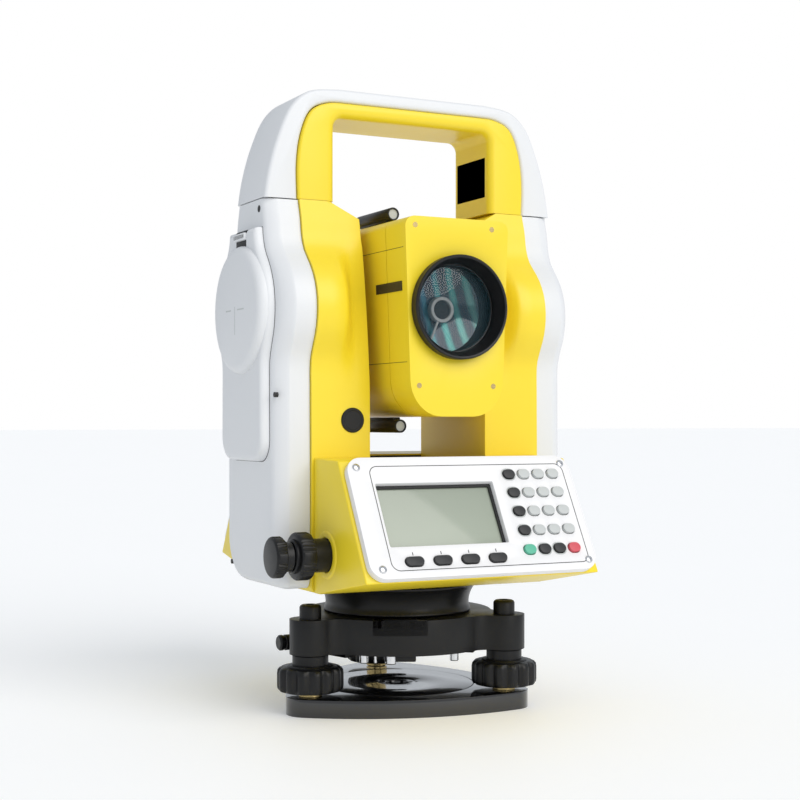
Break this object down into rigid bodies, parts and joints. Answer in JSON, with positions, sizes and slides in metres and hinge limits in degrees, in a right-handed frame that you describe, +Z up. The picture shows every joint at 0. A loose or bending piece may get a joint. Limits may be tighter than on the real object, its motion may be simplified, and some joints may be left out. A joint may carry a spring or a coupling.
{
  "type": "surveying total station",
  "caption": "Surveying total station: boxy telescope in a U-shaped yoke with side covers, keypads, battery and handle on a three-screw tribrach.",
  "frame": {"origin": "on the vertical axis, at the underside of the tribrach base plate", "axes": "+Z up along the vertical axis, -Y towards the side that the objective and the main keypad face, -X towards the battery"},
  "size_m": [0.223, 0.2192, 0.3565],
  "materials": {
    "yellow_casing": "satin yellow paint and plastic",
    "white_casing": "satin off-white plastic",
    "panel_plastic": "satin white plastic",
    "black_metal": "black anodised, satin",
    "gloss_black": "gloss black paint",
    "black_plastic": "black, satin",
    "bright_metal": "bright metal",
    "brass_metal": "plain brass",
    "lcd_glass": "grey-green display behind a clear window",
    "coated_glass": "teal coated lens",
    "key_rubber": "dark silicone",
    "key_pale": "pale grey silicone",
    "key_green": "green silicone",
    "key_red": "red silicone",
    "sealant": "black seal",
    "label": "plain dark label"
  },
  "bodies": {
    "tribrach": {"base_plate": "gloss_black", "spring_plate": "gloss_black", "tribrach_body": "black_metal", "circular_level": "bright_metal", "instrument_base": "black_metal"},
    "foot_screw_1": {"foot_screw_1": "black_metal"},
    "foot_screw_2": {"foot_screw_2": "black_metal"},
    "foot_screw_3": {"foot_screw_3": "black_metal"},
    "lock_knob": {"lock_knob": "black_metal"},
    "alidade": {"yoke_frame": "yellow_casing", "left_cover": "white_casing", "right_cover": "white_casing", "front_housing": "yellow_casing", "front_panel": "panel_plastic", "front_lcd": "lcd_glass", "rear_housing": "yellow_casing", "rear_panel": "panel_plastic", "rear_lcd": "lcd_glass", "rear_keymat": "key_pale", "handle_frame": "yellow_casing", "handle_cover": "white_casing"},
    "battery": {"battery": "white_casing"},
    "battery_latch": {"battery_latch": "black_plastic"},
    "handle_screw_left": {"handle_screw_left": "black_plastic"},
    "handle_screw_right": {"handle_screw_right": "black_plastic"},
    "horizontal_clamp_knob": {"horizontal_clamp_knob": "black_plastic"},
    "horizontal_tangent_knob": {"horizontal_tangent_knob": "black_plastic"},
    "vertical_clamp_knob": {"vertical_clamp_knob": "black_plastic"},
    "vertical_tangent_knob": {"vertical_tangent_knob": "black_plastic"},
    "telescope": {"telescope_body": "yellow_casing", "objective_ring": "black_metal", "objective_lens": "coated_glass", "upper_sight": "black_metal", "lower_sight": "black_metal"},
    "focus_ring": {"focus_ring": "black_plastic"},
    "eyepiece_ring": {"eyepiece_ring": "black_plastic"},
    "soft_key_f1": {"soft_key_f1": "key_rubber"},
    "soft_key_f2": {"soft_key_f2": "key_rubber"},
    "soft_key_f3": {"soft_key_f3": "key_rubber"},
    "soft_key_f4": {"soft_key_f4": "key_rubber"},
    "key_1_1": {"key_1_1": "key_rubber"},
    "key_1_2": {"key_1_2": "key_pale"},
    "key_1_3": {"key_1_3": "key_pale"},
    "key_1_4": {"key_1_4": "key_pale"},
    "key_2_1": {"key_2_1": "key_rubber"},
    "key_2_2": {"key_2_2": "key_pale"},
    "key_2_3": {"key_2_3": "key_pale"},
    "key_2_4": {"key_2_4": "key_pale"},
    "key_3_1": {"key_3_1": "key_rubber"},
    "key_3_2": {"key_3_2": "key_pale"},
    "key_3_3": {"key_3_3": "key_pale"},
    "key_3_4": {"key_3_4": "key_pale"},
    "key_4_1": {"key_4_1": "key_rubber"},
    "key_4_2": {"key_4_2": "key_pale"},
    "key_4_3": {"key_4_3": "key_pale"},
    "key_4_4": {"key_4_4": "key_pale"},
    "key_5_1": {"key_5_1": "key_green"},
    "key_5_2": {"key_5_2": "key_rubber"},
    "key_5_3": {"key_5_3": "key_rubber"},
    "key_5_4": {"key_5_4": "key_red"}
  },
  "joints": [
    {"name": "foot_screw_1_turn", "type": "hinge", "parent": "tribrach", "child": "foot_screw_1", "pos_m": [0.01764, 0.0636, 0.02], "axis": [0, 0, 1], "range_deg": [-1080, 1080]},
    {"name": "foot_screw_2_turn", "type": "hinge", "parent": "tribrach", "child": "foot_screw_2", "pos_m": [-0.0639, -0.01653, 0.02], "axis": [0, 0, 1], "range_deg": [-1080, 1080]},
    {"name": "foot_screw_3_turn", "type": "hinge", "parent": "tribrach", "child": "foot_screw_3", "pos_m": [0.04626, -0.04707, 0.02], "axis": [0, 0, 1], "range_deg": [-1080, 1080]},
    {"name": "lock_knob_turn", "type": "hinge", "parent": "tribrach", "child": "lock_knob", "pos_m": [-0.07, 0.001, 0.0386], "axis": [1, 0, 0], "range_deg": [0, 120]},
    {"name": "alidade_turn", "type": "hinge", "parent": "tribrach", "child": "alidade", "pos_m": [0, 0, 0.07], "axis": [0, 0, 1], "continuous": true},
    {"name": "telescope_tilt", "type": "hinge", "parent": "alidade", "child": "telescope", "pos_m": [0, 0, 0.2295], "axis": [1, 0, 0], "continuous": true},
    {"name": "focus_ring_turn", "type": "hinge", "parent": "telescope", "child": "focus_ring", "pos_m": [0, 0.07, 0.2295], "axis": [0, 1, 0], "range_deg": [-270, 270]},
    {"name": "eyepiece_ring_turn", "type": "hinge", "parent": "telescope", "child": "eyepiece_ring", "pos_m": [0, 0.085, 0.2295], "axis": [0, 1, 0], "range_deg": [-180, 180]},
    {"name": "horizontal_clamp_turn", "type": "hinge", "parent": "alidade", "child": "horizontal_clamp_knob", "pos_m": [-0.085, -0.057, 0.0937], "axis": [-1, 0, 0], "range_deg": [0, 180]},
    {"name": "horizontal_tangent_turn", "type": "hinge", "parent": "alidade", "child": "horizontal_tangent_knob", "pos_m": [-0.1, -0.057, 0.0937], "axis": [-1, 0, 0], "range_deg": [-1800, 1800]},
    {"name": "vertical_clamp_turn", "type": "hinge", "parent": "alidade", "child": "vertical_clamp_knob", "pos_m": [0.102, 0.026, 0.19], "axis": [1, 0, 0], "range_deg": [0, 180]},
    {"name": "vertical_tangent_turn", "type": "hinge", "parent": "alidade", "child": "vertical_tangent_knob", "pos_m": [0.114, 0.026, 0.19], "axis": [1, 0, 0], "range_deg": [-1800, 1800]},
    {"name": "handle_screw_left_turn", "type": "hinge", "parent": "alidade", "child": "handle_screw_left", "pos_m": [-0.0595, 0, 0.31], "axis": [0, 0, 1], "range_deg": [0, 1080]},
    {"name": "handle_screw_right_turn", "type": "hinge", "parent": "alidade", "child": "handle_screw_right", "pos_m": [0.0595, 0, 0.31], "axis": [0, 0, 1], "range_deg": [0, 1080]},
    {"name": "battery_slide", "type": "slide", "parent": "alidade", "child": "battery", "axis": [-1, 0, 0], "range_m": [0, 0.045]},
    {"name": "battery_latch_press", "type": "slide", "parent": "battery", "child": "battery_latch", "axis": [0, 0, -1], "range_m": [0, 0.0025], "stiffness_N_per_m": 500},
    {"name": "soft_key_f1_press", "type": "slide", "parent": "alidade", "child": "soft_key_f1", "axis": [0, 0.8721, -0.4894], "range_m": [0, 0.001], "stiffness_N_per_m": 400},
    {"name": "soft_key_f2_press", "type": "slide", "parent": "alidade", "child": "soft_key_f2", "axis": [0, 0.8721, -0.4894], "range_m": [0, 0.001], "stiffness_N_per_m": 400},
    {"name": "soft_key_f3_press", "type": "slide", "parent": "alidade", "child": "soft_key_f3", "axis": [0, 0.8721, -0.4894], "range_m": [0, 0.001], "stiffness_N_per_m": 400},
    {"name": "soft_key_f4_press", "type": "slide", "parent": "alidade", "child": "soft_key_f4", "axis": [0, 0.8721, -0.4894], "range_m": [0, 0.001], "stiffness_N_per_m": 400},
    {"name": "key_1_1_press", "type": "slide", "parent": "alidade", "child": "key_1_1", "axis": [0, 0.8721, -0.4894], "range_m": [0, 0.001], "stiffness_N_per_m": 400},
    {"name": "key_1_2_press", "type": "slide", "parent": "alidade", "child": "key_1_2", "axis": [0, 0.8721, -0.4894], "range_m": [0, 0.001], "stiffness_N_per_m": 400},
    {"name": "key_1_3_press", "type": "slide", "parent": "alidade", "child": "key_1_3", "axis": [0, 0.8721, -0.4894], "range_m": [0, 0.001], "stiffness_N_per_m": 400},
    {"name": "key_1_4_press", "type": "slide", "parent": "alidade", "child": "key_1_4", "axis": [0, 0.8721, -0.4894], "range_m": [0, 0.001], "stiffness_N_per_m": 400},
    {"name": "key_2_1_press", "type": "slide", "parent": "alidade", "child": "key_2_1", "axis": [0, 0.8721, -0.4894], "range_m": [0, 0.001], "stiffness_N_per_m": 400},
    {"name": "key_2_2_press", "type": "slide", "parent": "alidade", "child": "key_2_2", "axis": [0, 0.8721, -0.4894], "range_m": [0, 0.001], "stiffness_N_per_m": 400},
    {"name": "key_2_3_press", "type": "slide", "parent": "alidade", "child": "key_2_3", "axis": [0, 0.8721, -0.4894], "range_m": [0, 0.001], "stiffness_N_per_m": 400},
    {"name": "key_2_4_press", "type": "slide", "parent": "alidade", "child": "key_2_4", "axis": [0, 0.8721, -0.4894], "range_m": [0, 0.001], "stiffness_N_per_m": 400},
    {"name": "key_3_1_press", "type": "slide", "parent": "alidade", "child": "key_3_1", "axis": [0, 0.8721, -0.4894], "range_m": [0, 0.001], "stiffness_N_per_m": 400},
    {"name": "key_3_2_press", "type": "slide", "parent": "alidade", "child": "key_3_2", "axis": [0, 0.8721, -0.4894], "range_m": [0, 0.001], "stiffness_N_per_m": 400},
    {"name": "key_3_3_press", "type": "slide", "parent": "alidade", "child": "key_3_3", "axis": [0, 0.8721, -0.4894], "range_m": [0, 0.001], "stiffness_N_per_m": 400},
    {"name": "key_3_4_press", "type": "slide", "parent": "alidade", "child": "key_3_4", "axis": [0, 0.8721, -0.4894], "range_m": [0, 0.001], "stiffness_N_per_m": 400},
    {"name": "key_4_1_press", "type": "slide", "parent": "alidade", "child": "key_4_1", "axis": [0, 0.8721, -0.4894], "range_m": [0, 0.001], "stiffness_N_per_m": 400},
    {"name": "key_4_2_press", "type": "slide", "parent": "alidade", "child": "key_4_2", "axis": [0, 0.8721, -0.4894], "range_m": [0, 0.001], "stiffness_N_per_m": 400},
    {"name": "key_4_3_press", "type": "slide", "parent": "alidade", "child": "key_4_3", "axis": [0, 0.8721, -0.4894], "range_m": [0, 0.001], "stiffness_N_per_m": 400},
    {"name": "key_4_4_press", "type": "slide", "parent": "alidade", "child": "key_4_4", "axis": [0, 0.8721, -0.4894], "range_m": [0, 0.001], "stiffness_N_per_m": 400},
    {"name": "key_5_1_press", "type": "slide", "parent": "alidade", "child": "key_5_1", "axis": [0, 0.8721, -0.4894], "range_m": [0, 0.001], "stiffness_N_per_m": 400},
    {"name": "key_5_2_press", "type": "slide", "parent": "alidade", "child": "key_5_2", "axis": [0, 0.8721, -0.4894], "range_m": [0, 0.001], "stiffness_N_per_m": 400},
    {"name": "key_5_3_press", "type": "slide", "parent": "alidade", "child": "key_5_3", "axis": [0, 0.8721, -0.4894], "range_m": [0, 0.001], "stiffness_N_per_m": 400},
    {"name": "key_5_4_press", "type": "slide", "parent": "alidade", "child": "key_5_4", "axis": [0, 0.8721, -0.4894], "range_m": [0, 0.001], "stiffness_N_per_m": 400}
  ]
}
